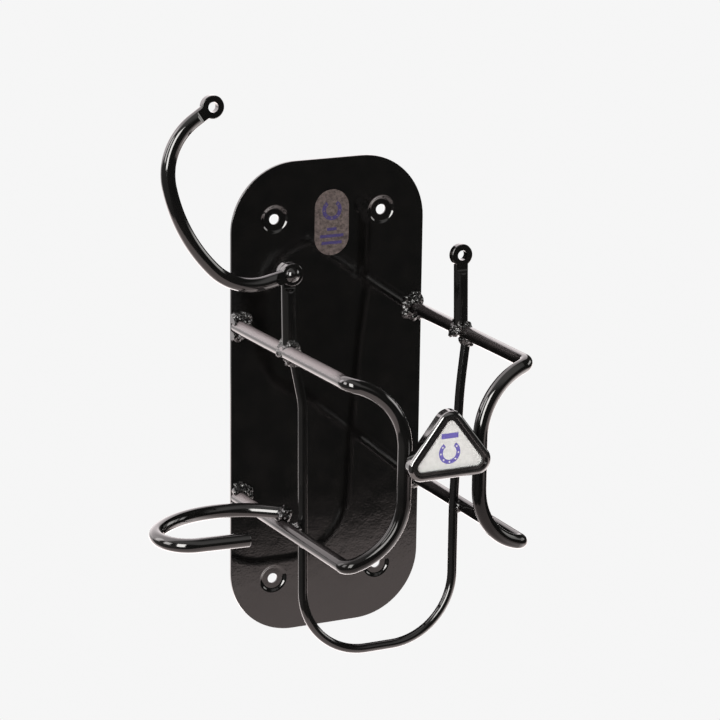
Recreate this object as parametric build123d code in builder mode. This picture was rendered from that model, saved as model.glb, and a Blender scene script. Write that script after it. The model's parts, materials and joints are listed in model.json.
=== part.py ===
from build123d import *

import os
from math import cos, radians, sin, tan

# A saddle rack that screws to a wall and locks. Two bent rods carry the saddle, two short posts
# stand on them, and a curved bar swings from one post to the other over the saddle.
#
# Frame: the origin is the centre of the wall plate's back face, +Z is up, and -Y points out of
# the wall towards the rider. Lengths are in millimetres and angles in degrees.

# Wall plate
PLATE_WIDTH = 180.0
PLATE_HEIGHT = 425.0
PLATE_THICKNESS = 3.0
PLATE_CORNER_RADIUS = 59.0
PLATE_EDGE_ROUNDING = 0.5
BOLT_SPACING_X = 100.0
BOLT_SPACING_Z = 326.0
BOLT_HOLE_DIAMETER = 9.0
DISH_DIAMETER = 26.0
DISH_FLOOR_DIAMETER = 18.5
DISH_DEPTH = 1.6
DISH_CUTTER_HEADROOM = 1.0

# Rod stock
ROD_DIAMETER = 12.0
ROD_RADIUS = ROD_DIAMETER / 2
HOOP_ROD_DIAMETER = 8.0
HOOP_ROD_RADIUS = HOOP_ROD_DIAMETER / 2

# Support loops: an upper leg, a nose and a lower leg, bent from one rod
LEG_X_AT_PLATE = PLATE_WIDTH / 2 - ROD_RADIUS
UPPER_LEG_Z = 72.0
LOWER_LEG_Z = -82.5
LEG_SLOPE = 2.8
BEND_X = 79.8
BEND_DISTANCE = 224.0
BEND_RADIUS = 9.0
NOSE_RADIUS = 56.0
NOSE_START_ANGLE = 17.0
NOSE_FORWARD_ANGLE = 10.0

# Posts, hoop and bar share planes square to the sloping legs
POST_X = 79.0
POST_DISTANCE = 103.0
EYE_HEIGHT = 66.5

# Flattened and drilled rod ends
EYE_DIAMETER = 19.0
EYE_THICKNESS = 6.5
EYE_HOLE_DIAMETER = 8.5
EYE_FLAT_LENGTH = 11.0
EYE_LENGTH = 17.0
EYE_EDGE_ROUNDING = 0.9

# Locking bar: angles are headings measured from the line between its two eyes
SIDE_CLEARANCE = 0.2
BAR_REST_ANGLE = 115.0
BAR_ROOT_HEADING = 77.0
BAR_CROWN_START = 19.0
BAR_CROWN_END = -14.0
BAR_TIP_HEADING = -82.0
BAR_ROOT_LENGTH = 21.0
BAR_ROOT_RADIUS = 51.0
BAR_TIP_RADIUS = 51.0

# Rivet that the bar swings on
RIVET_CLEARANCE = 0.05
RIVET_HEAD_DIAMETER = 13.0
RIVET_HEAD_HEIGHT = 4.2
RIVET_TAIL_HEIGHT = 2.4

# Hanging hoop, hand bent, so its two sides differ a little
HOOP_LEFT_TOP = (-75.6, -4.0)
HOOP_LEFT_KNEE = (-67.6, -46.0)
HOOP_LEFT_FOOT = (-70.3, -269.0)
HOOP_RIGHT_FOOT = (69.4, -269.0)
HOOP_RIGHT_CROSSING = (72.0, -154.0)
HOOP_RIGHT_KNEE = (78.0, -52.0)
HOOP_RIGHT_TOP = (85.0, 0.0)
HOOP_KNEE_RADIUS = 60.0
HOOP_CROSSING_RADIUS = 400.0
HOOP_FOOT_RADIUS = 58.0

# Bridle hook, level, on top of the left lower leg
HOOK_DISTANCE = 95.0
HOOK_LIFT = 0.05
HOOK_ROOT_HEADING = 143.3
HOOK_ROOT_LENGTH = 13.0
HOOK_BACK_RADIUS = 74.5
HOOK_BACK_SWEEP = 86.0
HOOK_TIP_RADIUS = 27.0
HOOK_TIP_SWEEP = 126.4
HOOK_TIP_LENGTH = 43.5
HOOK_END_ROUNDING = 1.2

# Triangular badge across the two noses
BADGE_HALF_BASE = 48.5
BADGE_APEX_HEIGHT = 64.4
BADGE_CORNER_RADIUS = 12.0
BADGE_BOTTOM_Z = 1.6
BADGE_BACK_DISTANCE = 238.3
BADGE_DEPTH = 10.0
BADGE_WALL = 3.0
BADGE_FLOOR = 2.0
BADGE_RIM_WIDTH = 4.4
BADGE_RIM_ROUNDING = 3.2
BADGE_STEP_DEPTH = 1.6
BADGE_BORDER_WIDTH = 7.6
BADGE_POCKET_DEPTH = 4.4
BADGE_FACE_THICKNESS = 1.0
BADGE_FACE_CLEARANCE = 0.1
BADGE_FACE_DISTANCE = BADGE_BACK_DISTANCE + BADGE_DEPTH - BADGE_POCKET_DEPTH

# Labels
LABEL_WIDTH = 32.0
LABEL_HEIGHT = 58.0
LABEL_THICKNESS = 0.25
LABEL_X = 3.0
LABEL_Z = 156.0
PRINT_THICKNESS = 0.1
LABEL_MARK_LIFT = 11.0
LABEL_MARK_RADIUS = 9.0
LABEL_LINE_WIDTHS = (9.0, 22.0, 19.0)
LABEL_LINE_HEIGHT = 2.6
LABEL_LINE_PITCH = 6.0
BADGE_MARK_Z = 23.0
BADGE_MARK_RADIUS = 9.5
BADGE_LINE_WIDTH = 15.0
BADGE_LINE_HEIGHT = 4.4
BADGE_LINE_GAP = 2.4
MARK_BAND = 0.36
MARK_GAP_ANGLE = 70.0
MARK_NAIL_COUNT = 7
MARK_NAIL_RADIUS = 0.085
MARK_NAIL_MARGIN = 0.75

# Weld beads
PLATE_WELD_DIAMETER = 26.0
PLATE_WELD_HEIGHT = 7.5
PLATE_WELD_HOLLOW_RADIUS = 15.0
PLATE_WELD_TOE = 1.2
POST_WELD_RADIUS = 9.6
POST_WELD_LIFT = 5.5
HOOP_TOP_WELD_RADIUS = 7.6
HOOP_TOP_WELD_DROP = 1.5
HOOP_LOW_WELD_RADIUS = 6.8
HOOK_WELD_RADIUS = 8.8
HOOK_WELD_SHIFT = 1.5
HOOK_WELD_DROP = 2.0
WELD_POLE_TILT = (50.0, 35.0, 0.0)
BADGE_WELD_RADIUS = 4.6
BADGE_WELD_X = 31.0
BADGE_WELD_Z = 13.0

LEFT = -1
RIGHT = 1
HOOP_LOW_WELD_X = {LEFT: -75.2, RIGHT: 76.1}
HOOP_CROSSING_HEIGHT = HOOP_RIGHT_CROSSING[1]
UP = Vector(0, 0, 1)

os.makedirs("parts", exist_ok=True)


def save(part, name):
    """Label one finished piece and write it as its own STEP file."""
    part.label = name
    export_step(part, f"parts/{name}.step")


# Shared geometry ---------------------------------------------------------------------------


def leg_point(side, base_z, distance):
    """Point on a leg's centre line at the given distance from the wall."""
    run = distance - PLATE_THICKNESS
    taper = (LEG_X_AT_PLATE - BEND_X) / (BEND_DISTANCE - PLATE_THICKNESS)
    return Vector(side * (LEG_X_AT_PLATE - taper * run), -distance, base_z + run * tan(radians(LEG_SLOPE)))


def rack_plane(offset=0.0):
    """Plane of the posts, square to the legs; its local y runs up the posts and z faces the rider."""
    outward = Vector(0, -cos(radians(LEG_SLOPE)), sin(radians(LEG_SLOPE)))
    centre = leg_point(RIGHT, UPPER_LEG_Z, POST_DISTANCE)
    return Plane(origin=Vector(0, centre.Y, centre.Z) + outward * offset, x_dir=(1, 0, 0), z_dir=outward)


def sweep_rod(path, diameter):
    """Round rod along a wire."""
    with BuildPart() as rod:
        with BuildSketch(Plane(origin=path @ 0, z_dir=path % 0)):
            Circle(diameter / 2)
        sweep(path=path)
    return rod.part


# Wall plate --------------------------------------------------------------------------------

PLATE_FACE = Plane.XZ.offset(PLATE_THICKNESS)


def make_dish_cutter():
    """Shallow pressed dish with a rounded lip and a rounded bowl, around a bolt hole."""
    outer = DISH_DIAMETER / 2
    inner = DISH_FLOOR_DIAMETER / 2
    middle = (outer + inner) / 2
    with BuildPart() as dish:
        with BuildSketch(Plane.XZ):
            with BuildLine():
                Polyline(
                    (inner, -DISH_DEPTH),
                    (0, -DISH_DEPTH),
                    (0, DISH_CUTTER_HEADROOM),
                    (outer, DISH_CUTTER_HEADROOM),
                    (outer, 0),
                )
                TangentArc((outer, 0), (middle, -DISH_DEPTH / 2), tangent=(-1, 0))
                TangentArc((inner, -DISH_DEPTH), (middle, -DISH_DEPTH / 2), tangent=(1, 0))
            make_face()
        revolve(axis=Axis.Z)
    return dish.part


def make_wall_plate():
    dish = make_dish_cutter()
    with BuildPart() as plate:
        with BuildSketch(Plane.XZ):
            RectangleRounded(PLATE_WIDTH, PLATE_HEIGHT, PLATE_CORNER_RADIUS)
        extrude(amount=PLATE_THICKNESS)
        rims = plate.faces().filter_by(Axis.Y).edges()
        fillet(rims, radius=PLATE_EDGE_ROUNDING)
        with Locations(PLATE_FACE):
            with GridLocations(BOLT_SPACING_X, BOLT_SPACING_Z, 2, 2):
                add(dish, mode=Mode.SUBTRACT)
                Hole(radius=BOLT_HOLE_DIAMETER / 2)
    return plate.part


# Support loops -----------------------------------------------------------------------------


def loop_half(side, base_z, turn):
    """Points and directions from a leg's foot to its end of the nose; turn is -1 down, 1 up."""
    foot = leg_point(side, base_z, 0)
    corner = leg_point(side, base_z, BEND_DISTANCE)
    leg_direction = (corner - foot).normalized()
    forward = radians(NOSE_FORWARD_ANGLE)
    start = radians(NOSE_START_ANGLE)
    inward = Vector(-side * cos(forward), -sin(forward), 0)
    nose_direction = inward * cos(start) + UP * (turn * sin(start))
    setback = BEND_RADIUS * tan(radians(leg_direction.get_angle(nose_direction)) / 2)
    bend_end = corner + nose_direction * setback
    nose_end = bend_end + inward * (NOSE_RADIUS * (1 - sin(start))) + UP * (turn * NOSE_RADIUS * cos(start))
    return {
        "foot": foot,
        "bend_start": corner - leg_direction * setback,
        "bend_end": bend_end,
        "nose_end": nose_end,
        "leg_direction": leg_direction,
        "nose_direction": nose_direction,
    }


def make_support_loop(side):
    upper = loop_half(side, UPPER_LEG_Z, -1)
    lower = loop_half(side, LOWER_LEG_Z, 1)
    with BuildLine() as path:
        Line(upper["foot"], upper["bend_start"])
        TangentArc(upper["bend_start"], upper["bend_end"], tangent=upper["leg_direction"])
        TangentArc(upper["bend_end"], upper["nose_end"], tangent=upper["nose_direction"])
        Line(upper["nose_end"], lower["nose_end"])
        TangentArc(lower["nose_end"], lower["bend_end"], tangent=-UP)
        TangentArc(lower["bend_end"], lower["bend_start"], tangent=-lower["nose_direction"])
        Line(lower["bend_start"], lower["foot"])
    rod = sweep_rod(path.wire(), ROD_DIAMETER)
    with BuildPart() as loop:
        add(rod)
        split(bisect_by=PLATE_FACE, keep=Keep.TOP)
    return loop.part


# Flattened eyes and posts ------------------------------------------------------------------


def make_neck():
    """End of a rod pressed flat: each face eases from the round rod into the flat in an S-curve."""
    with BuildPart() as neck:
        with BuildSketch(Plane.YZ.offset(-ROD_RADIUS)):
            with BuildLine():
                half = EYE_THICKNESS / 2
                Polyline((-EYE_FLAT_LENGTH, -half), (0, -half), (0, half), (-EYE_FLAT_LENGTH, half))
                for face in (-1, 1):
                    flat_end = (-EYE_FLAT_LENGTH, face * half)
                    round_end = (-EYE_LENGTH, face * ROD_RADIUS)
                    middle = (-(EYE_FLAT_LENGTH + EYE_LENGTH) / 2, face * (half + ROD_RADIUS) / 2)
                    TangentArc(flat_end, middle, tangent=(-1, 0))
                    TangentArc(round_end, middle, tangent=(1, 0))
                Line((-EYE_LENGTH, -ROD_RADIUS), (-EYE_LENGTH, ROD_RADIUS))
            make_face()
        extrude(amount=ROD_DIAMETER)
        with BuildSketch(Plane.XZ):
            Circle(ROD_RADIUS)
        extrude(amount=EYE_LENGTH, mode=Mode.INTERSECT)
    return neck.part


def make_eye():
    """Rod end flattened square to Z and drilled along Z; the rod joins it from below, along +Y."""
    neck = make_neck()
    with BuildPart() as eye:
        with BuildSketch(Plane.XY.offset(-EYE_THICKNESS / 2)):
            Circle(EYE_DIAMETER / 2)
        extrude(amount=EYE_THICKNESS)
        fillet(eye.edges().filter_by(GeomType.CIRCLE), radius=EYE_EDGE_ROUNDING)
        add(neck)
        with Locations(Plane.XY.offset(EYE_THICKNESS / 2)):
            Hole(radius=EYE_HOLE_DIAMETER / 2)
    return eye.part


def make_post(side, eye, leg):
    """Short rod standing on an upper leg, coped to it, with a flattened eye on top."""
    plane = rack_plane()
    foot = plane.from_local_coords(Vector(side * POST_X, 0, 0))
    with BuildPart() as post:
        with BuildSketch(Plane(origin=foot, x_dir=(1, 0, 0), z_dir=plane.y_dir)):
            Circle(ROD_RADIUS)
        extrude(amount=EYE_HEIGHT - EYE_LENGTH)
        centre = plane.from_local_coords(Vector(side * POST_X, EYE_HEIGHT, 0))
        with Locations(Plane(origin=centre, x_dir=plane.x_dir, z_dir=plane.z_dir)):
            add(eye)
        add(leg, mode=Mode.SUBTRACT)
    return post.part


# Locking bar and rivet ---------------------------------------------------------------------

BAR_OFFSET = EYE_THICKNESS + SIDE_CLEARANCE


def arc_step(radius, start, end):
    """Displacement along a clockwise arc between two headings, in the bar's own plane."""
    across = radius * (sin(radians(start)) - sin(radians(end)))
    upward = radius * (cos(radians(end)) - cos(radians(start)))
    return Vector(across, upward)


def heading(angle):
    """Unit vector at a heading, in the bar's own plane."""
    return Vector(cos(radians(angle)), sin(radians(angle)))


def bar_closure():
    """Crown radius and tip length that bring the second eye onto the line between the posts."""
    fixed = (
        heading(BAR_ROOT_HEADING) * BAR_ROOT_LENGTH
        + arc_step(BAR_ROOT_RADIUS, BAR_ROOT_HEADING, BAR_CROWN_START)
        + arc_step(BAR_TIP_RADIUS, BAR_CROWN_END, BAR_TIP_HEADING)
    )
    crown = arc_step(1.0, BAR_CROWN_START, BAR_CROWN_END)
    tip = heading(BAR_TIP_HEADING)
    missing = Vector(2 * POST_X, 0) - fixed
    determinant = crown.X * tip.Y - crown.Y * tip.X
    crown_radius = (missing.X * tip.Y - missing.Y * tip.X) / determinant
    tip_length = (crown.X * missing.Y - crown.Y * missing.X) / determinant
    return crown_radius, tip_length


def make_flat_bar(eye):
    """The bar lying in the XY plane, its pivot eye at the origin and its second eye along +X."""
    crown_radius, tip_length = bar_closure()
    with BuildLine() as path:
        root = Line(heading(BAR_ROOT_HEADING) * EYE_LENGTH, heading(BAR_ROOT_HEADING) * BAR_ROOT_LENGTH)
        lower = JernArc(root @ 1, root % 1, BAR_ROOT_RADIUS, BAR_CROWN_START - BAR_ROOT_HEADING)
        crown = JernArc(lower @ 1, lower % 1, crown_radius, BAR_CROWN_END - BAR_CROWN_START)
        upper = JernArc(crown @ 1, crown % 1, BAR_TIP_RADIUS, BAR_TIP_HEADING - BAR_CROWN_END)
        PolarLine(upper @ 1, tip_length - EYE_LENGTH, direction=upper % 1)
    rod = sweep_rod(path.wire(), ROD_DIAMETER)
    with BuildPart() as bar:
        add(rod)
        with Locations(Location((0, 0, 0), (0, 0, BAR_ROOT_HEADING + 90))):
            add(eye)
        with Locations(Location((2 * POST_X, 0, 0), (0, 0, BAR_TIP_HEADING - 90))):
            add(eye)
    return bar.part


def make_locking_bar(eye):
    """The bar in its open pose, in front of the pivot post's eye."""
    flat_bar = make_flat_bar(eye)
    plane = rack_plane(BAR_OFFSET)
    pivot = plane.from_local_coords(Vector(LEFT * POST_X, EYE_HEIGHT, 0))
    chord = plane.x_dir * cos(radians(BAR_REST_ANGLE)) + plane.y_dir * sin(radians(BAR_REST_ANGLE))
    with BuildPart() as bar:
        with Locations(Plane(origin=pivot, x_dir=chord, z_dir=plane.z_dir)):
            add(flat_bar)
    return bar.part


def make_rivet_cap(height):
    """Spherical cap of the rivet's head diameter, standing on the XY plane."""
    base = RIVET_HEAD_DIAMETER / 2
    ball = (base**2 + height**2) / (2 * height)
    with BuildPart() as cap:
        with Locations((0, 0, height - ball)):
            Sphere(ball)
        split(bisect_by=Plane.XY, keep=Keep.TOP)
    return cap.part


def make_pivot_rivet():
    """Rivet upset in the post's eye; its thinner front shank carries the bar under a domed head."""
    head = make_rivet_cap(RIVET_HEAD_HEIGHT)
    tail = make_rivet_cap(RIVET_TAIL_HEIGHT)
    post_face = EYE_THICKNESS / 2
    seat = BAR_OFFSET + EYE_THICKNESS / 2 + SIDE_CLEARANCE
    with BuildPart() as rivet:
        with BuildSketch(Plane.XY.offset(-post_face)):
            Circle(EYE_HOLE_DIAMETER / 2)
        extrude(amount=EYE_THICKNESS)
        with BuildSketch(Plane.XY.offset(post_face)):
            Circle(EYE_HOLE_DIAMETER / 2 - RIVET_CLEARANCE)
        extrude(amount=seat - post_face)
        with Locations((0, 0, seat)):
            add(head)
        with Locations(Location((0, 0, -post_face), (180, 0, 0))):
            add(tail)
    plane = rack_plane()
    centre = plane.from_local_coords(Vector(LEFT * POST_X, EYE_HEIGHT, 0))
    with BuildPart() as placed:
        with Locations(Plane(origin=centre, x_dir=plane.x_dir, z_dir=plane.z_dir)):
            add(rivet.part)
    return placed.part


# Hanging hoop and bridle hook --------------------------------------------------------------


def make_hanging_hoop(legs):
    """Thin rod from one upper leg down, under and up to the other, its ends coped to the legs."""
    plane = rack_plane()
    corners = (
        HOOP_LEFT_TOP,
        HOOP_LEFT_KNEE,
        HOOP_LEFT_FOOT,
        HOOP_RIGHT_FOOT,
        HOOP_RIGHT_CROSSING,
        HOOP_RIGHT_KNEE,
        HOOP_RIGHT_TOP,
    )
    radii = (
        HOOP_KNEE_RADIUS,
        HOOP_FOOT_RADIUS,
        HOOP_FOOT_RADIUS,
        HOOP_CROSSING_RADIUS,
        HOOP_CROSSING_RADIUS,
    )
    with BuildLine(plane) as path:
        FilletPolyline(*corners, radius=radii)
    rod = sweep_rod(path.wire(), HOOP_ROD_DIAMETER)
    with BuildPart() as hoop:
        add(rod)
        for leg in legs:
            add(leg, mode=Mode.SUBTRACT)
    return hoop.part


def hook_root():
    """Centre of the hook's welded end, resting on top of the left lower leg."""
    return leg_point(LEFT, LOWER_LEG_Z, HOOK_DISTANCE) + UP * (ROD_DIAMETER + HOOK_LIFT)


def make_bridle_hook():
    """Level rod that leaves the leg towards the wall and curls back out to a free end."""
    with BuildLine() as path:
        root = PolarLine((0, 0), HOOK_ROOT_LENGTH, HOOK_ROOT_HEADING)
        back = JernArc(root @ 1, root % 1, HOOK_BACK_RADIUS, HOOK_BACK_SWEEP)
        tip = JernArc(back @ 1, back % 1, HOOK_TIP_RADIUS, HOOK_TIP_SWEEP)
        PolarLine(tip @ 1, HOOK_TIP_LENGTH, direction=tip % 1)
    rod = sweep_rod(path.wire(), ROD_DIAMETER)
    with BuildPart() as flat:
        add(rod)
        ends = flat.faces().filter_by(GeomType.PLANE).edges()
        fillet(ends, radius=HOOK_END_ROUNDING)
    with BuildPart() as hook:
        with Locations(Plane(origin=hook_root())):
            add(flat.part)
    return hook.part


# Badge -------------------------------------------------------------------------------------

BADGE_BACK = Plane.XZ.offset(BADGE_BACK_DISTANCE)


def badge_outline(inset):
    """Rounded triangle in the badge's plane, shrunk by the inset."""
    with BuildSketch(BADGE_BACK) as outline:
        with BuildLine():
            Polyline(
                (-BADGE_HALF_BASE, BADGE_BOTTOM_Z),
                (BADGE_HALF_BASE, BADGE_BOTTOM_Z),
                (0, BADGE_BOTTOM_Z + BADGE_APEX_HEIGHT),
                close=True,
            )
        make_face()
        fillet(outline.vertices(), radius=BADGE_CORNER_RADIUS)
        offset(amount=-inset)
    return outline.sketch


def make_badge_housing():
    """Cup with a rounded rim, a step inside the rim and a pocket for the face, open at the back."""
    outward = (0, -1, 0)
    cuts = (
        (BADGE_RIM_WIDTH, BADGE_DEPTH - BADGE_STEP_DEPTH, BADGE_DEPTH),
        (BADGE_BORDER_WIDTH, BADGE_DEPTH - BADGE_POCKET_DEPTH, BADGE_DEPTH),
        (BADGE_WALL, 0, BADGE_DEPTH - BADGE_POCKET_DEPTH - BADGE_FLOOR),
    )
    outer = badge_outline(0)
    hollows = [badge_outline(inset).moved(Location(Vector(outward) * start)) for inset, start, _ in cuts]
    with BuildPart() as housing:
        extrude(outer, amount=BADGE_DEPTH, dir=outward)
        front = housing.faces().sort_by(Axis.Y)[0]
        fillet(front.edges(), radius=BADGE_RIM_ROUNDING)
        for hollow, (_, start, end) in zip(hollows, cuts):
            extrude(hollow, amount=end - start, dir=outward, mode=Mode.SUBTRACT)
    return housing.part


def make_badge_face():
    """Thin insert that lies in the badge's pocket."""
    outline = badge_outline(BADGE_BORDER_WIDTH + BADGE_FACE_CLEARANCE)
    seat = Vector(0, BADGE_BACK_DISTANCE - BADGE_FACE_DISTANCE, 0)
    with BuildPart() as face:
        extrude(outline.moved(Location(seat)), amount=BADGE_FACE_THICKNESS, dir=(0, -1, 0))
    return face.part


# Labels and printed marks ------------------------------------------------------------------


def make_print(distance, centre_x, mark_z, mark_radius, line_centres, line_widths, line_height):
    """Plain horseshoe with nail holes, and plain bars, printed at the given distance from the wall."""
    with BuildPart() as mark:
        with BuildSketch(Plane.XZ.offset(distance)):
            with Locations((centre_x, mark_z)):
                Circle(mark_radius)
                Circle(mark_radius * (1 - MARK_BAND), mode=Mode.SUBTRACT)
                with BuildLine(mode=Mode.PRIVATE) as gap:
                    half_width = mark_radius * tan(radians(MARK_GAP_ANGLE / 2))
                    Polyline((0, 0), (half_width, mark_radius), (-half_width, mark_radius), close=True)
                add(make_face(gap.line, mode=Mode.PRIVATE), mode=Mode.SUBTRACT)
                nails = PolarLocations(
                    mark_radius * (1 - MARK_BAND / 2),
                    MARK_NAIL_COUNT,
                    start_angle=90 + MARK_GAP_ANGLE * MARK_NAIL_MARGIN,
                    angular_range=360 - 2 * MARK_GAP_ANGLE * MARK_NAIL_MARGIN,
                    endpoint=True,
                )
                with nails:
                    Circle(mark_radius * MARK_NAIL_RADIUS, mode=Mode.SUBTRACT)
            for line_z, width in zip(line_centres, line_widths):
                with Locations((centre_x, line_z)):
                    Rectangle(width, line_height)
        extrude(amount=PRINT_THICKNESS)
    return mark.part


def make_foil_label():
    with BuildPart() as label:
        with BuildSketch(PLATE_FACE):
            with Locations((LABEL_X, LABEL_Z)):
                SlotOverall(LABEL_HEIGHT, LABEL_WIDTH, rotation=90)
        extrude(amount=LABEL_THICKNESS)
    return label.part


def make_foil_label_print():
    first = LABEL_Z - LABEL_LINE_PITCH
    lines = [first - LABEL_LINE_PITCH * row for row in range(len(LABEL_LINE_WIDTHS))]
    return make_print(
        PLATE_THICKNESS + LABEL_THICKNESS,
        LABEL_X,
        LABEL_Z + LABEL_MARK_LIFT,
        LABEL_MARK_RADIUS,
        lines,
        LABEL_LINE_WIDTHS,
        LABEL_LINE_HEIGHT,
    )


def make_badge_emblem():
    line_z = BADGE_MARK_Z + BADGE_MARK_RADIUS + BADGE_LINE_GAP + BADGE_LINE_HEIGHT / 2
    return make_print(
        BADGE_FACE_DISTANCE + BADGE_FACE_THICKNESS,
        0,
        BADGE_MARK_Z,
        BADGE_MARK_RADIUS,
        (line_z,),
        (BADGE_LINE_WIDTH,),
        BADGE_LINE_HEIGHT,
    )


# Weld beads --------------------------------------------------------------------------------


def make_plate_weld(side, base_z):
    """Fillet bead round a leg's foot, trimmed to the plate's face and to its edge."""
    foot = leg_point(side, base_z, PLATE_THICKNESS)
    along = (leg_point(side, base_z, BEND_DISTANCE) - foot).normalized()
    radial = along.cross(UP).normalized()
    outer = PLATE_WELD_DIAMETER / 2
    with BuildPart() as bead:
        with BuildSketch(Plane(origin=foot, x_dir=radial, z_dir=radial.cross(along))):
            with BuildLine():
                toe = (outer, PLATE_WELD_TOE)
                crest = (ROD_RADIUS, PLATE_WELD_HEIGHT)
                Polyline(toe, (outer, -PLATE_THICKNESS), (ROD_RADIUS, -PLATE_THICKNESS), crest)
                RadiusArc(crest, toe, PLATE_WELD_HOLLOW_RADIUS)
            make_face()
        revolve(axis=Axis(foot, along))
        split(bisect_by=PLATE_FACE, keep=Keep.TOP)
        edge = Plane.YZ.offset(side * PLATE_WIDTH / 2)
        split(bisect_by=edge, keep=Keep.BOTTOM if side == RIGHT else Keep.TOP)
    return bead.part


def make_round_weld(centre, radius, neighbours):
    """Round bead at a joint of two rods, with the rods themselves taken out of it."""
    with BuildPart() as bead:
        with Locations(Location(centre, WELD_POLE_TILT)):
            Sphere(radius)
        for neighbour in neighbours:
            add(neighbour, mode=Mode.SUBTRACT)
    return bead.part


def rack_point(across, upward):
    """Point in the plane of the posts and the hoop."""
    return rack_plane().from_local_coords(Vector(across, upward, 0))


# Build every piece and write it ------------------------------------------------------------

eye = make_eye()
loops = {LEFT: make_support_loop(LEFT), RIGHT: make_support_loop(RIGHT)}
posts = {LEFT: make_post(LEFT, eye, loops[LEFT]), RIGHT: make_post(RIGHT, eye, loops[RIGHT])}
hoop = make_hanging_hoop(loops.values())
hook = make_bridle_hook()
housing = make_badge_housing()

save(make_wall_plate(), "wall_plate")
save(loops[LEFT], "left_support_loop")
save(loops[RIGHT], "right_support_loop")
save(posts[LEFT], "pivot_post")
save(posts[RIGHT], "lock_post")
save(make_pivot_rivet(), "pivot_rivet")
save(make_locking_bar(eye), "locking_bar")
save(hoop, "hanging_hoop")
save(hook, "bridle_hook")
save(housing, "badge_housing")
save(make_badge_face(), "badge_face")
save(make_badge_emblem(), "badge_emblem")
save(make_foil_label(), "foil_label")
save(make_foil_label_print(), "foil_label_print")

for side, side_name in ((LEFT, "left"), (RIGHT, "right")):
    loop = loops[side]
    save(make_plate_weld(side, UPPER_LEG_Z), f"{side_name}_upper_plate_weld")
    save(make_plate_weld(side, LOWER_LEG_Z), f"{side_name}_lower_plate_weld")
    foot = rack_point(side * POST_X, POST_WELD_LIFT)
    post_weld = make_round_weld(foot, POST_WELD_RADIUS, (loop, posts[side]))
    save(post_weld, f"{side_name}_post_weld")
    top_x, _ = HOOP_LEFT_TOP if side == LEFT else HOOP_RIGHT_TOP
    hoop_top = rack_point(top_x, -ROD_RADIUS - HOOP_TOP_WELD_DROP)
    top_weld = make_round_weld(hoop_top, HOOP_TOP_WELD_RADIUS, (loop, hoop, posts[side], post_weld))
    save(top_weld, f"{side_name}_hoop_top_weld")
    low_x = HOOP_LOW_WELD_X[side]
    hoop_low = rack_point(low_x, HOOP_CROSSING_HEIGHT)
    save(make_round_weld(hoop_low, HOOP_LOW_WELD_RADIUS, (loop, hoop)), f"{side_name}_hoop_low_weld")
    badge_joint = Vector(side * BADGE_WELD_X, -BADGE_BACK_DISTANCE, BADGE_WELD_Z)
    save(make_round_weld(badge_joint, BADGE_WELD_RADIUS, (loop, housing)), f"{side_name}_badge_weld")

hook_joint = hook_root() + Vector(HOOK_WELD_SHIFT, 0, -HOOK_WELD_DROP)
save(make_round_weld(hook_joint, HOOK_WELD_RADIUS, (loops[LEFT], hook)), "bridle_hook_weld")
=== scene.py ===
"""Looks of a lockable wall saddle rack.

Gloss black enamel on steel rod, hand-laid welds, a badge and a label. Lengths are in metres.
"""

import json
import math
import random

import bmesh
import bpy
from mathutils import Matrix, Vector, noise


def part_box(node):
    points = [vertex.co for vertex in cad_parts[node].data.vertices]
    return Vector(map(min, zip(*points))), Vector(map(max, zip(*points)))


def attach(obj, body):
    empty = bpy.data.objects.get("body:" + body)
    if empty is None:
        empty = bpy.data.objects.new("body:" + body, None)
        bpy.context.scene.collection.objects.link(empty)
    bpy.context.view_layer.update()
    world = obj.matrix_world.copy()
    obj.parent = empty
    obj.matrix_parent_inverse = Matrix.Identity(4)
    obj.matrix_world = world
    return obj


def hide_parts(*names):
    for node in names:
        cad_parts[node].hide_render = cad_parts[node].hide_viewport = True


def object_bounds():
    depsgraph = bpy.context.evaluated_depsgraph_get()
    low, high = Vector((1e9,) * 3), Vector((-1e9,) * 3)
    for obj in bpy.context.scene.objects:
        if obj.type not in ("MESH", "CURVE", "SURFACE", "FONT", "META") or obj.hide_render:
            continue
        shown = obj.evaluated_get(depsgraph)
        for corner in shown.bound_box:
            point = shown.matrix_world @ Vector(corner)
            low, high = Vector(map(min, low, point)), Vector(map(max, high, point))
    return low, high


MM = 0.001

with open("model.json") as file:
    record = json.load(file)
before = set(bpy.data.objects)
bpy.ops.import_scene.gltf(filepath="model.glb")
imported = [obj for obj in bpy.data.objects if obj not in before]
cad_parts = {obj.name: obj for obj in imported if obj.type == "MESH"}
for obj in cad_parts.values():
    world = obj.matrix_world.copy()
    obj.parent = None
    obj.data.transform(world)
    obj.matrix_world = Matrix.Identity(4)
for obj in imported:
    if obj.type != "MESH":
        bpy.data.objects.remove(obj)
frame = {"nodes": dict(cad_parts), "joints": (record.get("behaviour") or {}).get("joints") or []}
cad_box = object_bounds()

# Directions and stock sizes, read from the frame -------------------------------------------------

PIVOT = frame["joints"][0]
OUTWARD = -Vector(PIVOT["axis"]).normalized()
ACROSS = Vector((1, 0, 0))
UPWARD = OUTWARD.cross(ACROSS).normalized()
ROD_RADIUS = (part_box("bridle_hook")[1].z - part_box("bridle_hook")[0].z) / 2
HOOP_ROD_RADIUS = ROD_RADIUS * 2 / 3  # 8 mm rod beside 12 mm rod
PLATE_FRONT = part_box("wall_plate")[0].y
PLATE_HALF_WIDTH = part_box("wall_plate")[1].x
NOSE_DEPTH = 16 * MM
NOSE_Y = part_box("left_support_loop")[0].y + NOSE_DEPTH
HOOK_Y = (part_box("bridle_hook_weld")[0].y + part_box("bridle_hook_weld")[1].y) / 2


# Node helpers ------------------------------------------------------------------------------------


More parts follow.
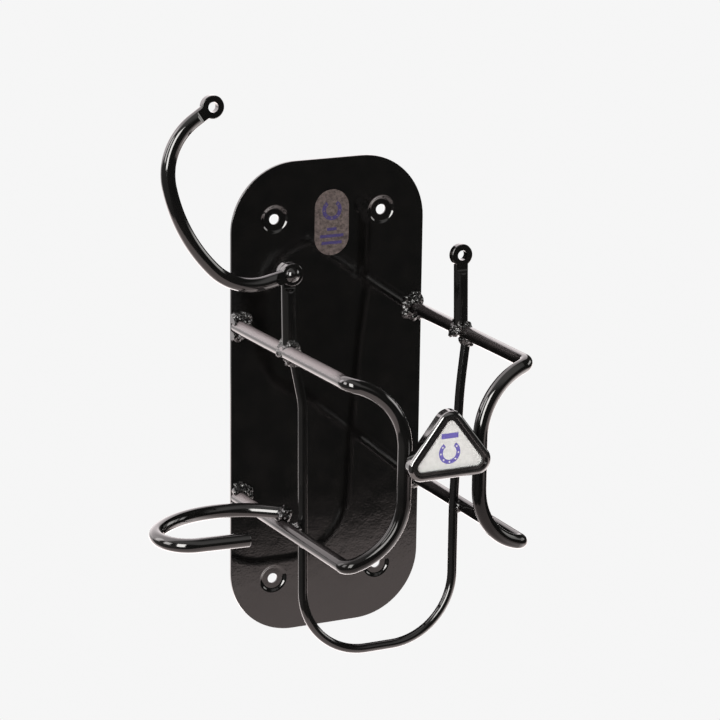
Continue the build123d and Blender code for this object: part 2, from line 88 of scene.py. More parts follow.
class Nodes:
    """Short calls for building one node tree."""

    def __init__(self, tree):
        self.tree = tree
        tree.nodes.clear()

    def add(self, kind, inputs=None, **settings):
        node = self.tree.nodes.new(kind)
        for key, value in settings.items():
            setattr(node, key, value)
        for key, value in (inputs or {}).items():
            self.set(node, key, value)
        return node

    def set(self, node, key, value):
        socket = node.inputs[key]
        if isinstance(value, bpy.types.NodeSocket):
            self.tree.links.new(value, socket)
        else:
            socket.default_value = value

    def math(self, operation, *values, clamp=False):
        node = self.add("ShaderNodeMath", dict(enumerate(values)), operation=operation, use_clamp=clamp)
        return node.outputs[0]

    def dot(self, a, b):
        return self.add("ShaderNodeVectorMath", {0: a, 1: b}, operation="DOT_PRODUCT").outputs["Value"]

    def noise(self, vector, scale, detail=2.0, roughness=0.5):
        values = {"Vector": vector, "Scale": scale, "Detail": detail, "Roughness": roughness}
        return self.add("ShaderNodeTexNoise", values).outputs["Fac"]

    def spread(self, value, low, high, to_low=0.0, to_high=1.0, smooth=False):
        """Rescales a value from low..high to to_low..to_high."""
        values = {"Value": value, "From Min": low, "From Max": high, "To Min": to_low, "To Max": to_high}
        kind = "SMOOTHSTEP" if smooth else "LINEAR"
        return self.add("ShaderNodeMapRange", values, interpolation_type=kind).outputs["Result"]

    def mix(self, share, a, b):
        node = self.add("ShaderNodeMix", data_type="RGBA")
        for key, value in (("Factor", share), ("A", a), ("B", b)):
            kind = "NodeSocketFloatFactor" if key == "Factor" else "NodeSocketColor"
            socket = next(s for s in node.inputs if s.name == key and s.bl_idname == kind)
            if isinstance(value, bpy.types.NodeSocket):
                self.tree.links.new(value, socket)
            else:
                socket.default_value = value
        return next(s for s in node.outputs if s.bl_idname == "NodeSocketColor")


def rgba(red, green, blue):
    return (red, green, blue, 1.0)


def new_material(name):
    material = bpy.data.materials.new(name)
    material.use_nodes = True
    return material, Nodes(material.node_tree)


def finish_material(nodes, surface):
    nodes.add("ShaderNodeOutputMaterial", {"Surface": surface.outputs[0]})


# Enamel ------------------------------------------------------------------------------------------

# Each RANGE is the part of a noise that is stretched over the whole change it drives.
WAVE_SIZE_IN_PEELS = 6
WAVE_HEIGHT_IN_PEELS = 1.5
NIB_SPACING = 7 * MM
NIB_RADIUS_IN_SPACINGS = 0.07
SMEAR_SIZE = 35 * MM
SMEAR_RANGE = (0.3, 0.75)
SMEAR_ROUGHNESS_SHARES = (0.8, 1.5)
TONE_SIZE = 18 * MM
TONE_RANGE = (0.35, 0.7)
DEEP_BLACK = (0.0014, 0.0014, 0.0014)
LIFTED_BLACK = (0.0026, 0.0024, 0.0023)
WORN_BLACK = (0.030, 0.028, 0.026)
WORN_POINTINESS_RANGE = (0.53, 0.62)
WORN_SHARE = 0.5

# Dry overspray roughens the sides of a rod that face this way, up and to the left towards the lights, and a
# painted sheen greys them there as a painted highlight; both fade towards the nose.
DRY_AND_SHEEN_FACING = Vector((-0.42, 0.0, 0.91))
DRY_AND_SHEEN_GRAIN_SIZE = 1.1 * MM
DRY_AND_SHEEN_GRAIN_RANGE = (0.3, 0.7)
DRY_AND_SHEEN_GRAIN_SWAY = 0.10
DRY_AND_SHEEN_COVER_RANGE = (0.50, 1.02)
DRY_AND_SHEEN_NOSE_FADE = 22 * MM
# Colour of the painted sheen: a grey painted highlight on the lit sides of the legs.
PAINTED_SHEEN_COLOUR = (0.098, 0.084, 0.086)

# A lower leg keeps little of it further out than the bridle hook, and shines less there as painted shade; an
# upper leg keeps it all.
DRY_AND_LIT_OUTER_SHARE = 0.12
HOOK_FADE_OUT = 10 * MM
HOOK_FADE_IN = 30 * MM
LEG_HALF_FADE = 20 * MM
# Shine of the outer lower legs, dimmed as painted shade, and the shine the lit rest of the legs gains back.
SHADED_LEG_SHINE = 0.14
LIT_LEG_SHINE_GAIN = 0.36


def overspray_and_painted_sheen(n, place, facing_normal):
    """Two masks: where overspray and its painted sheen lie, and how much of the leg's length keeps them and
    its full shine.
    """
    facing = n.dot(facing_normal, DRY_AND_SHEEN_FACING)
    grain = n.noise(place, 1 / DRY_AND_SHEEN_GRAIN_SIZE, detail=3.0)
    cover = n.math("ADD", facing, n.spread(grain, *DRY_AND_SHEEN_GRAIN_RANGE, -DRY_AND_SHEEN_GRAIN_SWAY, DRY_AND_SHEEN_GRAIN_SWAY))
    dry_and_sheen = n.spread(cover, *DRY_AND_SHEEN_COVER_RANGE, smooth=True)
    spot = n.add("ShaderNodeSeparateXYZ", {0: place})
    out_from_wall = spot.outputs["Y"]
    reach = n.spread(out_from_wall, NOSE_Y, NOSE_Y + DRY_AND_SHEEN_NOSE_FADE, smooth=True)
    near_wall = n.spread(
        out_from_wall, HOOK_Y - HOOK_FADE_OUT, HOOK_Y + HOOK_FADE_IN, DRY_AND_LIT_OUTER_SHARE, 1.0, smooth=True)
    upper = n.spread(spot.outputs["Z"], -LEG_HALF_FADE, LEG_HALF_FADE)
    kept_and_lit = n.math("MAXIMUM", near_wall, upper)
    return n.math("MULTIPLY", n.math("MULTIPLY", dry_and_sheen, reach), kept_and_lit), kept_and_lit


def make_enamel(name, peel_size, peel_height, nib_height, roughness,
                overspray=0.0, painted_sheen=0.0, worn_edges=False, shine=0.5):
    """Gloss black enamel: orange peel, dust nibs and faint smears.

    overspray is the roughness that dry overspray adds, and the next argument is how far a painted sheen, a
    painted highlight on the sides facing the lights, greys the black;
    with overspray the shine comes from the overspray's own values, lower on the outer lower legs as painted
    shade. worn_edges lightens sharp edges.
    """
    material, n = new_material(name)
    place = n.add("ShaderNodeTexCoord").outputs["Object"]
    peel = n.noise(place, 1 / peel_size, detail=2.0)
    waves = n.noise(place, 1 / (WAVE_SIZE_IN_PEELS * peel_size), detail=1.0)
    nibs = n.add("ShaderNodeTexVoronoi", {"Vector": place, "Scale": 1 / NIB_SPACING, "Randomness": 1.0})
    nib = n.spread(nibs.outputs["Distance"], 0.0, NIB_RADIUS_IN_SPACINGS, 1.0, 0.0, smooth=True)
    layers = ((waves, WAVE_HEIGHT_IN_PEELS * peel_height), (peel, peel_height), (nib, nib_height))
    normal = None
    for height, distance in layers:
        bump = n.add("ShaderNodeBump", {"Height": height, "Strength": 1.0, "Distance": distance})
        if normal:
            n.set(bump, "Normal", normal)
        normal = bump.outputs[0]
    smear = n.noise(place, 1 / SMEAR_SIZE, detail=5.0, roughness=0.65)
    smear_gloss = [roughness * share for share in SMEAR_ROUGHNESS_SHARES]
    gloss = n.spread(smear, *SMEAR_RANGE, *smear_gloss)
    tone = n.noise(place, 1 / TONE_SIZE, detail=4.0)
    colour = n.mix(n.spread(tone, *TONE_RANGE), rgba(*DEEP_BLACK), rgba(*LIFTED_BLACK))
    if worn_edges:
        pointiness = n.add("ShaderNodeNewGeometry").outputs["Pointiness"]
        worn = n.math("MULTIPLY", n.spread(pointiness, *WORN_POINTINESS_RANGE), WORN_SHARE)
        colour = n.mix(worn, colour, rgba(*WORN_BLACK))
    if overspray:
        dry_and_sheen, kept_and_lit = overspray_and_painted_sheen(n, place, n.add("ShaderNodeNewGeometry").outputs["Normal"])
        # The grey mixed in here is a painted sheen, a painted highlight on the lit sides; the lower shine
        # beyond the hook is painted shade.
        gloss = n.math("MULTIPLY_ADD", dry_and_sheen, overspray, gloss)
        shine = n.math("MULTIPLY_ADD", kept_and_lit, LIT_LEG_SHINE_GAIN, SHADED_LEG_SHINE)
        colour = n.mix(n.math("MULTIPLY", dry_and_sheen, painted_sheen), colour, rgba(*PAINTED_SHEEN_COLOUR))
    surface = n.add("ShaderNodeBsdfPrincipled", {
        "Base Color": colour, "Roughness": gloss, "IOR": 1.5, "Specular IOR Level": shine, "Normal": normal})
    finish_material(n, surface)
    return material


# Badge and label ---------------------------------------------------------------------------------

BADGE_MOTTLE_SIZE = 4 * MM
BADGE_MOTTLE_RANGE = (0.35, 0.65)
BADGE_WHITE_DIM = (0.375, 0.385, 0.38)
BADGE_WHITE_BRIGHT = (0.43, 0.44, 0.435)
FINE_BUMP = 0.02 * MM

INK_GRAIN_SIZE = 0.7 * MM
INK_GRAIN_RANGE = (0.4, 0.65)
BADGE_INK = {"thin": (0.09, 0.075, 0.27), "dense": (0.055, 0.045, 0.21)}
LABEL_INK = {"thin": (0.035, 0.026, 0.085), "dense": (0.012, 0.009, 0.06)}

FOIL_BRUSH_SIZE = 0.6 * MM
FOIL_BRUSH_STRETCH = (1.0, 1.0, 0.06)
FOIL_BRUSH_SHARE = 0.3
FOIL_MOTTLE_SIZE = 3.5 * MM
FOIL_MOTTLE_RANGE = (0.35, 0.7)
FOIL_DARK = (0.060, 0.050, 0.050)
FOIL_LIGHT = (0.20, 0.168, 0.155)
FOIL_GLOSS_RANGE = (0.3, 0.7)
FOIL_ROUGHNESS = (0.28, 0.5)
FOIL_BUMP = 0.05 * MM


def make_badge_white():
    """Warm white printed insert under a clear gloss, slightly mottled."""
    material, n = new_material("badge_white")
    place = n.add("ShaderNodeTexCoord").outputs["Object"]
    mottle = n.noise(place, 1 / BADGE_MOTTLE_SIZE, detail=5.0, roughness=0.6)
    share = n.spread(mottle, *BADGE_MOTTLE_RANGE)
    colour = n.mix(share, rgba(*BADGE_WHITE_DIM), rgba(*BADGE_WHITE_BRIGHT))
    bump = n.add("ShaderNodeBump", {"Height": mottle, "Strength": 0.1, "Distance": FINE_BUMP})
    surface = n.add("ShaderNodeBsdfPrincipled", {
        "Base Color": colour, "Roughness": 0.35, "Coat Weight": 0.5, "Coat Roughness": 0.08,
        "Normal": bump.outputs[0]})
    finish_material(n, surface)
    return material


def make_print_ink(name, thin, dense):
    """Violet screen print, a little broken where the ink is thin."""
    material, n = new_material(name)
    place = n.add("ShaderNodeTexCoord").outputs["Object"]
    grain = n.noise(place, 1 / INK_GRAIN_SIZE, detail=4.0)
    colour = n.mix(n.spread(grain, *INK_GRAIN_RANGE), rgba(*dense), rgba(*thin))
    bump = n.add("ShaderNodeBump", {"Height": grain, "Strength": 0.3, "Distance": FINE_BUMP})
    surface = n.add("ShaderNodeBsdfPrincipled", {
        "Base Color": colour, "Roughness": 0.4, "Normal": bump.outputs[0]})
    finish_material(n, surface)
    return material


def make_label_foil():
    """Brushed foil label with a mottled, fingered sheen."""
    material, n = new_material("label_foil")
    place = n.add("ShaderNodeTexCoord").outputs["Object"]
    stretched = n.add("ShaderNodeMapping", {"Vector": place, "Scale": FOIL_BRUSH_STRETCH}).outputs[0]
    brushed = n.noise(stretched, 1 / FOIL_BRUSH_SIZE, detail=3.0)
    mottle = n.noise(place, 1 / FOIL_MOTTLE_SIZE, detail=5.0, roughness=0.7)
    colour = n.mix(n.spread(mottle, *FOIL_MOTTLE_RANGE), rgba(*FOIL_DARK), rgba(*FOIL_LIGHT))
    height = n.math("ADD", n.math("MULTIPLY", brushed, FOIL_BRUSH_SHARE), mottle)
    bump = n.add("ShaderNodeBump", {"Height": height, "Strength": 0.35, "Distance": FOIL_BUMP})
    gloss = n.spread(mottle, *FOIL_GLOSS_RANGE, *FOIL_ROUGHNESS)
    surface = n.add("ShaderNodeBsdfPrincipled", {
        "Base Color": colour, "Metallic": 0.75, "Roughness": gloss, "Normal": bump.outputs[0]})
    finish_material(n, surface)
    return material


# Weld beads --------------------------------------------------------------------------------------

VOXEL = 0.5 * MM
SOFTEN_FACTOR = 0.5
SOFTEN_ROUNDS = 9
RIPPLE = 0.7 * MM
COARSE_RIPPLE_SIZE = 3.2 * MM
FINE_RIPPLE_SIZE = 1.3 * MM
FINE_RIPPLE_SHARE = 0.55
SEED_SHIFT = (3.1, 1.7, 2.3)

TURN_JITTER = 0.25
DROPLET_SHARES = (0.75, 1.15)
LUMP_REACH = 0.7
LUMP_SHARES = (0.4, 0.6)

# Passes of droplets along a seam: each has its seam's place, the number of droplets, their size and
# wander, and the chance that a lump sits on one.
PLATE_WELD_PASSES = (
    {"radius": 9.2 * MM, "lift": 0.0, "count": 12, "size": 4.6 * MM, "wander": 0.9 * MM, "chance": 0.3},
    {"radius": 8.4 * MM, "lift": 2.4 * MM, "count": 11, "size": 3.9 * MM, "wander": 0.8 * MM, "chance": 0.3},
    {"radius": 7.8 * MM, "lift": 4.6 * MM, "count": 9, "size": 3.0 * MM, "wander": 0.8 * MM, "chance": 0.3},
)
POST_WELD_PASSES = (
    {"spread": 1.0 * MM, "lift": 0.6 * MM, "count": 13, "size": 3.4 * MM, "wander": 0.8 * MM, "chance": 0.5},
    {"spread": 1.6 * MM, "lift": -1.6 * MM, "count": 11, "size": 2.9 * MM, "wander": 0.7 * MM, "chance": 0.4},
    {"spread": 0.2 * MM, "lift": 4.2 * MM, "count": 9, "size": 2.6 * MM, "wander": 0.8 * MM, "chance": 0.5},
)
HOOP_TOP_WELD_PASSES = (
    {"spread": 0.8 * MM, "lift": 0.4 * MM, "count": 10, "size": 3.2 * MM, "wander": 0.7 * MM, "chance": 0.6},
    {"spread": 0.2 * MM, "lift": 4.0 * MM, "count": 7, "size": 2.4 * MM, "wander": 0.7 * MM, "chance": 0.5},
)

# Loose droplets heaped above a leg's foot, in degrees round it and in millimetres
CROWN_COUNT = 7
CROWN_START = 30
CROWN_SWEEP = 120
CROWN_RADIUS = (11.5, 13.5)
CROWN_LIFT = (0.2, 1.8)
CROWN_SIZE = (2.2, 3.2)

PLATE_EDGE_MARGIN = 1.2 * MM
PLATE_SINK = 0.5 * MM
POST_WELD_DROP_MM = 5.5

HOOP_LOW_WELD = {"count": 14, "size": 2.4 * MM}
BADGE_WELD = {"count": 12, "size": 1.8 * MM}
HOOK_WELD = {"count": 15, "size": 4.2 * MM, "grow": 1.1}
CLUSTER_CORE_SHARE = 0.8
CLUSTER_SIZE_SHARES = (0.7, 1.2)
CLUSTER_REACH_SHARES = (0.8, 1.0)
GOLDEN_TURN = 3 - math.sqrt(5)

SEEDS_PER_SIDE = 10
HOOK_WELD_SEED = 31


def droplet_bead(name, droplets, seed):
    """One bead mesh: overlapping droplets melted together, softened, then roughened."""
    mesh = bpy.data.meshes.new(name)
    body = bmesh.new()
    for centre, radius in droplets:
        bmesh.ops.create_icosphere(body, subdivisions=2, radius=radius, matrix=Matrix.Translation(centre))
    body.to_mesh(mesh)
    body.free()
    bead = bpy.data.objects.new(name, mesh)
    bpy.context.scene.collection.objects.link(bead)
    melt = bead.modifiers.new("melt", "REMESH")
    melt.mode = "VOXEL"
    melt.voxel_size = VOXEL
    soften = bead.modifiers.new("soften", "SMOOTH")
    soften.factor = SOFTEN_FACTOR
    soften.iterations = SOFTEN_ROUNDS
    depsgraph = bpy.context.evaluated_depsgraph_get()
    final = bpy.data.meshes.new_from_object(bead.evaluated_get(depsgraph))
    bead.modifiers.clear()
    bead.data = final
    bpy.data.meshes.remove(mesh)
    final.name = name
    shift = Vector([seed * share for share in SEED_SHIFT])
    normals = [vertex.normal.copy() for vertex in final.vertices]
    for vertex, normal in zip(final.vertices, normals):
        coarse = noise.noise(vertex.co / COARSE_RIPPLE_SIZE + shift)
        fine = noise.noise(vertex.co / FINE_RIPPLE_SIZE + shift)
        vertex.co += normal * RIPPLE * (coarse + FINE_RIPPLE_SHARE * fine)
    for polygon in final.polygons:
        polygon.use_smooth = True
    return bead


def random_way(rng):
    return Vector([rng.uniform(-1, 1) for _ in range(3)])


def seam_droplets(passes, seam, rng):
    """Droplets of every pass. seam(layer) gives place(turn): a point, or None off the plate."""
    droplets = []
    for layer in passes:
        place = seam(layer)
        for step in range(layer["count"]):
            turn = (step + rng.uniform(-TURN_JITTER, TURN_JITTER)) / layer["count"]
            centre = place(turn)
            if centre is None:
                continue
            nudge = random_way(rng) * layer["wander"]
            droplets.append((centre + nudge, layer["size"] * rng.uniform(*DROPLET_SHARES)))
            if rng.random() < layer["chance"]:
                lump = random_way(rng) * layer["size"] * LUMP_REACH
                droplets.append((centre + lump, layer["size"] * rng.uniform(*LUMP_SHARES)))
    return droplets


def plate_weld_bead(node, seed):
    """Passes of droplets round a leg's foot, heaped above it, stopping at the plate's edge."""
    low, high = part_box(node)
    reach = (high.z - low.z) / 2
    side = 1 if high.x > 0 else -1
    inner = low.x if side > 0 else high.x
    centre = Vector((inner + side * reach, PLATE_FRONT, (low.z + high.z) / 2))
    rng = random.Random(seed)

    def ring(radius, lift):
        def at(turn):
            angle = turn * math.tau
            point = centre + Vector((math.cos(angle), 0, math.sin(angle))) * radius
            point.y -= lift
            return point if abs(point.x) < PLATE_HALF_WIDTH - PLATE_EDGE_MARGIN else None
        return at

    droplets = seam_droplets(PLATE_WELD_PASSES, lambda layer: ring(layer["radius"], layer["lift"]), rng)
    for step in range(CROWN_COUNT):
        turn = (CROWN_START + CROWN_SWEEP * step / CROWN_COUNT) / 360
        spot = ring(rng.uniform(*CROWN_RADIUS) * MM, rng.uniform(*CROWN_LIFT) * MM)(turn)
        if spot is not None:
            droplets.append((spot, rng.uniform(*CROWN_SIZE) * MM))
    bead = droplet_bead(node + "_bead", droplets, seed)
    for vertex in bead.data.vertices:
        vertex.co.x = max(-PLATE_HALF_WIDTH, min(vertex.co.x, PLATE_HALF_WIDTH))
        vertex.co.y = min(vertex.co.y, PLATE_FRONT + PLATE_SINK)
    return bead


def saddle_seam(centre, up, rod, layer):
    """Seam where a rod ends on a leg: it dips at the leg's sides and rises along its crest."""
    wide = rod + layer["spread"]

    def at(turn):
        angle = turn * math.tau
        across, along = math.cos(angle), math.sin(angle)
        height = math.sqrt(max(ROD_RADIUS**2 - (rod * across) ** 2, 0.0)) + layer["lift"]
        return centre + ACROSS * across * wide + OUTWARD * along * wide + up * height
    return at


def post_weld_bead(node, seed):
    """Passes of droplets round a post's foot, on top of its leg."""
    low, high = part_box(node)
    radius = (high.x - low.x) / 2
    middle = Vector(((low.x + high.x) / 2, (low.y + high.y) / 2, high.z - radius))
    centre = middle - UPWARD * POST_WELD_DROP_MM * MM
    droplets = seam_droplets(
        POST_WELD_PASSES, lambda layer: saddle_seam(centre, UPWARD, ROD_RADIUS, layer), random.Random(seed))
    return droplet_bead(node + "_bead", droplets, seed)


def hoop_top_weld_bead(node, seed):
    """Passes of droplets round an end of the hoop, under its leg."""
    low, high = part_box(node)
    radius = (high.x - low.x) / 2
    middle = Vector(((low.x + high.x) / 2, (low.y + high.y) / 2, low.z + radius))
    centre = middle + UPWARD * ROD_RADIUS
    droplets = seam_droplets(
        HOOP_TOP_WELD_PASSES, lambda layer: saddle_seam(centre, -UPWARD, HOOP_ROD_RADIUS, layer),
        random.Random(seed))
    return droplet_bead(node + "_bead", droplets, seed)


def cluster_bead(node, seed, count, size, grow=1.0):
    """A heap of droplets in the space that the CAD bead fills, or a little beyond it."""
    low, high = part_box(node)
    centre = (low + high) / 2
    half = (high - low) / 2 * grow
    rng = random.Random(seed)
    droplets = [(centre.copy(), min(half) * CLUSTER_CORE_SHARE)]
    for step in range(count):
        height = 1 - 2 * (step + 0.5) / count
        angle = step * math.pi * GOLDEN_TURN
        flat = math.sqrt(1 - height**2)
        way = Vector((flat * math.cos(angle), flat * math.sin(angle), height))
        radius = size * rng.uniform(*CLUSTER_SIZE_SHARES)
        reach = Vector([w * (h - radius) for w, h in zip(way, half)]) * rng.uniform(*CLUSTER_REACH_SHARES)
        droplets.append((centre + reach, radius))
    return droplet_bead(node + "_bead", droplets, seed)


def build_welds(material):
    """Stands a lumpy bead in for each of the CAD's thirteen smooth ones."""
    beads = {}
    for index, side in enumerate(("left", "right")):
        seed = SEEDS_PER_SIDE * index
        beads[f"{side}_upper_plate_weld"] = plate_weld_bead(f"{side}_upper_plate_weld", seed + 1)
        beads[f"{side}_lower_plate_weld"] = plate_weld_bead(f"{side}_lower_plate_weld", seed + 2)
        beads[f"{side}_post_weld"] = post_weld_bead(f"{side}_post_weld", seed + 3)
        beads[f"{side}_hoop_top_weld"] = hoop_top_weld_bead(f"{side}_hoop_top_weld", seed + 4)
        beads[f"{side}_hoop_low_weld"] = cluster_bead(f"{side}_hoop_low_weld", seed + 5, **HOOP_LOW_WELD)
        beads[f"{side}_badge_weld"] = cluster_bead(f"{side}_badge_weld", seed + 6, **BADGE_WELD)
    beads["bridle_hook_weld"] = cluster_bead("bridle_hook_weld", HOOK_WELD_SEED, **HOOK_WELD)
    for node, bead in beads.items():
        bead.data.materials.append(material)
        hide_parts(node)
        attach(bead, "rack")


# Finishes on the CAD nodes -----------------------------------------------------------------------


def paint_cad_nodes(finishes, default):
    for name, node in frame["nodes"].items():
        node.data.materials.clear()
        node.data.materials.append(finishes.get(name, default))


# Studio ------------------------------------------------------------------------------------------

BACKDROP = (0.92, 0.92, 0.92)
ROOM_GLOW = (0.07, 0.07, 0.067)

# Light that only reflections and shading see. aim is azimuth and elevation, half is the half width
# and height, all in degrees; an edge fades over soft degrees to each side of it.
SOFT_BOXES = (
    {"aim": (-44, 20), "half": (11.5, 21), "soft": 1.5, "tint": (1.0, 0.98, 0.95), "glow": 20.0},
    {"aim": (-88, 22), "half": (10, 15), "soft": 2.5, "tint": (1.0, 0.97, 0.95), "glow": 10.0},
    {"aim": (-125, 26), "half": (9, 18), "soft": 4.0, "tint": (1.0, 0.96, 0.95), "glow": 5.0},
    {"aim": (-168, 36), "half": (46, 37), "soft": 5.0, "tint": (1.0, 0.92, 0.93), "glow": 2.9},
    {"aim": (-178, -28), "half": (36, 28), "soft": 3.0, "tint": (1.0, 0.95, 0.95), "glow": 1.5},
    {"aim": (85, 16), "half": (18, 9), "soft": 3.0, "tint": (1.0, 0.98, 0.95), "glow": 4.5},
    {"aim": (-60, 72), "half": (70, 24), "soft": 14.0, "tint": (1.0, 0.97, 0.95), "glow": 0.9},
    {"aim": (-90, -12), "half": (60, 24), "soft": 9.0, "tint": (1.0, 0.95, 0.93), "glow": 0.2},
)

# A lit table under the rack. Its places are in multiples of the drop from the rack to the table; each
# edge is an azimuth and a distance.
TABLE = {
    "edges": ((-10, 2.24), (-49, 1.34), (-90, 1.26), (90, 2.6), (180, 3.0)),
    "soft": 0.02, "tint": (1.0, 0.85, 0.82), "glow": 1.6,
}
TABLE_POOLS = (
    {"centre": (1.3, -0.4), "radius": 1.2, "tint": (1.0, 0.95, 0.93), "glow": 4.0},
    {"centre": (0.5, 0.9), "radius": 1.3, "tint": (1.0, 0.96, 0.94), "glow": 2.0},
)
BOX_SIDE_FADE = 0.05
TABLE_LEAST_DROP = 0.02
TABLE_FADE_DROP = 0.06

FLOOR_HALF_WIDTH = 12.0
FLOOR_DROP = 0.35

# Solved on the wall plate's outline and holes: degrees, metres, and millimetres for the sensor and lens
CAMERA_AZIMUTH = -24.74
CAMERA_ELEVATION = 16.69
CAMERA_ROLL = 0.78
CAMERA_TARGET = Vector((32.9, 0.0, 28.3)) * MM
CAMERA_DISTANCE = 2551.7 * MM
CAMERA_SENSOR = 36.0
CAMERA_LENS = 145.65


def studio_world(background):
    """A pale backdrop for the camera; reflections and light come from soft boxes over a lit table."""
    world = bpy.data.worlds.new("studio")
    bpy.context.scene.world = world
    world.use_nodes = True
    n = Nodes(world.node_tree)
    way = n.add("ShaderNodeTexCoord").outputs["Generated"]
    light = n.add("ShaderNodeCombineColor", dict(zip(("Red", "Green", "Blue"), ROOM_GLOW))).outputs[0]
    masks = [(box_mask(n, way, *box["aim"], *box["half"], box["soft"]), box) for box in SOFT_BOXES]
    masks.append((table_mask(n, way, TABLE["edges"], TABLE["soft"]), TABLE))
    masks += [(pool_mask(n, way, pool["centre"], pool["radius"]), pool) for pool in TABLE_POOLS]
    for mask, source in masks:
        glow = [channel * source["glow"] for channel in source["tint"]]
        scaled = n.add("ShaderNodeVectorMath", {0: glow, "Scale": mask}, operation="SCALE").outputs[0]
        light = n.add("ShaderNodeVectorMath", {0: light, 1: scaled}, operation="ADD").outputs[0]
    seen = n.add("ShaderNodeLightPath").outputs["Is Camera Ray"]
    shown = n.mix(seen, light, rgba(*background))
    sky = n.add("ShaderNodeBackground", {"Color": shown, "Strength": 1.0})
    n.add("ShaderNodeOutputWorld", {"Surface": sky.outputs[0]})


def heading(azimuth, elevation):
    """Unit vector: azimuth 0 is towards -Y, 90 towards +X."""
    a, e = math.radians(azimuth), math.radians(elevation)
    return Vector((math.sin(a) * math.cos(e), -math.cos(a) * math.cos(e), math.sin(e)))


def box_mask(n, way, azimuth, elevation, half_width, half_height, soft):
    """1 inside a rectangle of directions, fading to 0 over soft degrees each side of its edge."""
    aim = heading(azimuth, elevation)
    right = heading(azimuth + 90, 0)
    up = aim.cross(right)
    ahead = n.dot(way, aim)
    mask = n.spread(ahead, 0.0, BOX_SIDE_FADE)
    for axis, half in ((right, half_width), (up, half_height)):
        angle = n.math("ARCTAN2", n.math("ABSOLUTE", n.dot(way, axis)), ahead)
        edge = n.spread(angle, math.radians(half - soft), math.radians(half + soft), 1.0, 0.0, smooth=True)
        mask = n.math("MULTIPLY", mask, edge)
    return mask


def table_point(n, way):
    """Where a direction meets the table, in multiples of the drop to it, and a mask for looking down."""
    drop = n.math("MAXIMUM", n.dot(way, Vector((0, 0, -1))), TABLE_LEAST_DROP)
    scale = n.math("DIVIDE", 1.0, drop)
    point = n.add("ShaderNodeVectorMath", {0: way, "Scale": scale}, operation="SCALE").outputs[0]
    return point, n.spread(drop, TABLE_LEAST_DROP, TABLE_FADE_DROP)


def table_mask(n, way, edges, soft):
    """1 on a table top whose straight edges are given by their azimuth and distance."""
    point, mask = table_point(n, way)
    for azimuth, distance in edges:
        reach = n.dot(point, heading(azimuth, 0))
        inside = n.spread(reach, distance - soft, distance + soft, 1.0, 0.0, smooth=True)
        mask = n.math("MULTIPLY", mask, inside)
    return mask


def pool_mask(n, way, centre, radius):
    """A round pool of light on the table, fading from its centre to its radius."""
    point, mask = table_point(n, way)
    middle = Vector((*centre, -1.0))
    gap = n.add("ShaderNodeVectorMath", {0: point, 1: middle}, operation="DISTANCE").outputs["Value"]
    return n.math("MULTIPLY", mask, n.spread(gap, 0.0, radius, 1.0, 0.0, smooth=True))


def pale_floor(colour):
    """Large plain floor below the object, seen by the camera only, and only from above."""
    mesh = bpy.data.meshes.new("floor")
    half = FLOOR_HALF_WIDTH
    level = cad_box[0].z - FLOOR_DROP
    corners = [(-half, -half, level), (half, -half, level), (half, half, level), (-half, half, level)]
    mesh.from_pydata(corners, [], [(0, 1, 2, 3)])
    floor = bpy.data.objects.new("floor", mesh)
    bpy.context.scene.collection.objects.link(floor)
    material, n = new_material("floor")
    seen = n.add("ShaderNodeLightPath").outputs["Is Camera Ray"]
    above = n.math("SUBTRACT", 1.0, n.add("ShaderNodeNewGeometry").outputs["Backfacing"])
    paper = n.add("ShaderNodeEmission", {"Color": rgba(*colour), "Strength": 1.0})
    clear = n.add("ShaderNodeBsdfTransparent")
    share = n.math("MULTIPLY", seen, above)
    surface = n.add("ShaderNodeMixShader", {0: share, 1: clear.outputs[0], 2: paper.outputs[0]})
    finish_material(n, surface)
    mesh.materials.append(material)


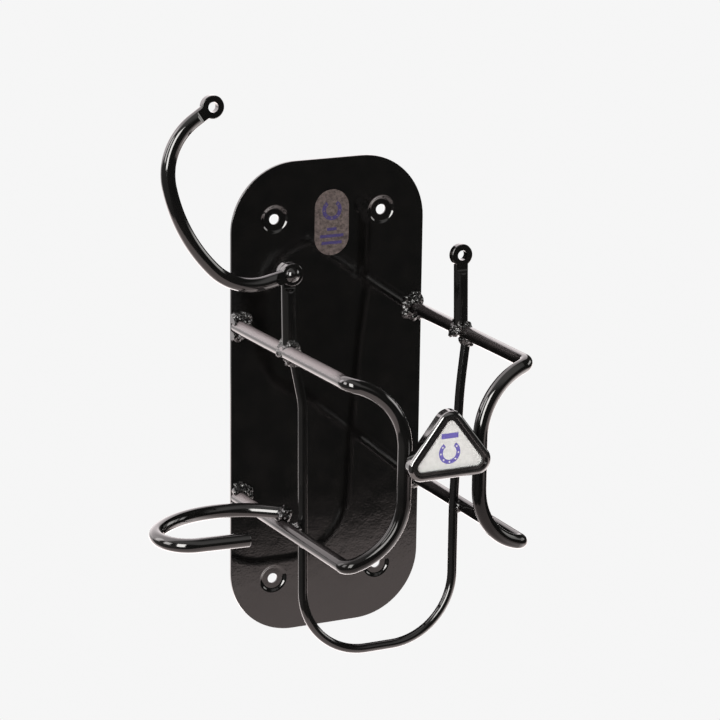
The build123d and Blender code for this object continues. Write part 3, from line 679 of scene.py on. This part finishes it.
def place_camera():
    """Camera at the photograph's viewing angle."""
    back = heading(CAMERA_AZIMUTH, CAMERA_ELEVATION)
    level_right = heading(CAMERA_AZIMUTH + 90, 0)
    level_up = back.cross(level_right)
    turn = math.radians(CAMERA_ROLL)
    right = level_right * math.cos(turn) + level_up * math.sin(turn)
    up = level_up * math.cos(turn) - level_right * math.sin(turn)
    data = bpy.data.cameras.new("camera")
    data.sensor_width = CAMERA_SENSOR
    data.lens = CAMERA_LENS
    camera = bpy.data.objects.new("camera", data)
    bpy.context.scene.collection.objects.link(camera)
    facing = Matrix((right, up, back)).transposed().to_4x4()
    camera.matrix_world = Matrix.Translation(CAMERA_TARGET + back * CAMERA_DISTANCE) @ facing
    bpy.context.scene.camera = camera


# Scene -------------------------------------------------------------------------------------------

ROD_ENAMEL = {"peel_size": 1.6 * MM, "peel_height": 0.003 * MM, "nib_height": 0.015 * MM, "roughness": 0.08}
PLATE_ENAMEL = {"peel_size": 1.7 * MM, "peel_height": 0.011 * MM, "nib_height": 0.010 * MM, "roughness": 0.05}
WELD_ENAMEL = {"peel_size": 1.6 * MM, "peel_height": 0.05 * MM, "nib_height": 0.03 * MM, "roughness": 0.10}
BADGE_ENAMEL = {
    "peel_size": 3.0 * MM, "peel_height": 0.0015 * MM, "nib_height": 0.003 * MM, "roughness": 0.07,
    "shine": 1.2,
}
# The left loop carries strong painted sheen, a painted highlight on its lit legs; the right loop carries
# little, so it stays dark like a loop in shade.
LEFT_OVERSPRAY_AND_SHEEN = {"overspray": 0.42, "painted_sheen": 0.85}
RIGHT_OVERSPRAY_AND_SHEEN = {"overspray": 0.12, "painted_sheen": 0.12}


def main():
    bpy.context.scene.view_settings.view_transform = "Standard"
    rod_enamel = make_enamel("black_enamel", **ROD_ENAMEL)
    weld_enamel = make_enamel("black_enamel_weld", **WELD_ENAMEL, worn_edges=True)
    finishes = {
        "wall_plate": make_enamel("black_enamel_plate", **PLATE_ENAMEL),
        "left_support_loop": make_enamel("black_enamel_left_loop", **ROD_ENAMEL, **LEFT_OVERSPRAY_AND_SHEEN),
        "right_support_loop": make_enamel("black_enamel_right_loop", **ROD_ENAMEL, **RIGHT_OVERSPRAY_AND_SHEEN),
        "badge_housing": make_enamel("badge_black", **BADGE_ENAMEL),
        "badge_face": make_badge_white(),
        "badge_emblem": make_print_ink("violet_print", **BADGE_INK),
        "foil_label": make_label_foil(),
        "foil_label_print": make_print_ink("violet_print_on_foil", **LABEL_INK),
    }
    paint_cad_nodes(finishes, rod_enamel)
    build_welds(weld_enamel)
    studio_world(BACKDROP)
    pale_floor(BACKDROP)
    place_camera()


main()
